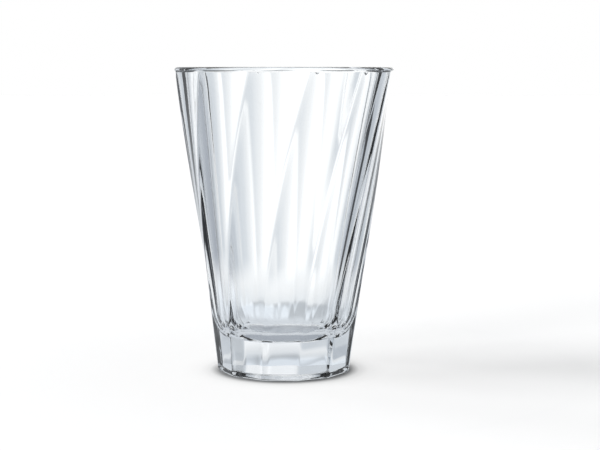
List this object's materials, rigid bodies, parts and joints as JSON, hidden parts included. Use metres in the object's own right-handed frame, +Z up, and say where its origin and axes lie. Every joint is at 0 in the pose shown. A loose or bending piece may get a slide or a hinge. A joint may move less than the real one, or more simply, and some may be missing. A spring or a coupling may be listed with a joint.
{
  "type": "latte glass",
  "caption": "Tall tapered tumbler of clear pressed glass with flat facets twisting up the outside, a thick solid base and a plain round lip, for latte and other drinks.",
  "frame": {"origin": "middle of the resting face under the foot", "axes": "+Z up along the axis of the glass; one ridge of the facets starts at +X on the foot"},
  "size_m": [0.09, 0.09, 0.1255],
  "materials": {
    "glass": "clear, fire-polished"
  },
  "bodies": {
    "root": {"base": "glass", "wall": "glass", "lip": "glass"}
  },
  "joints": []
}
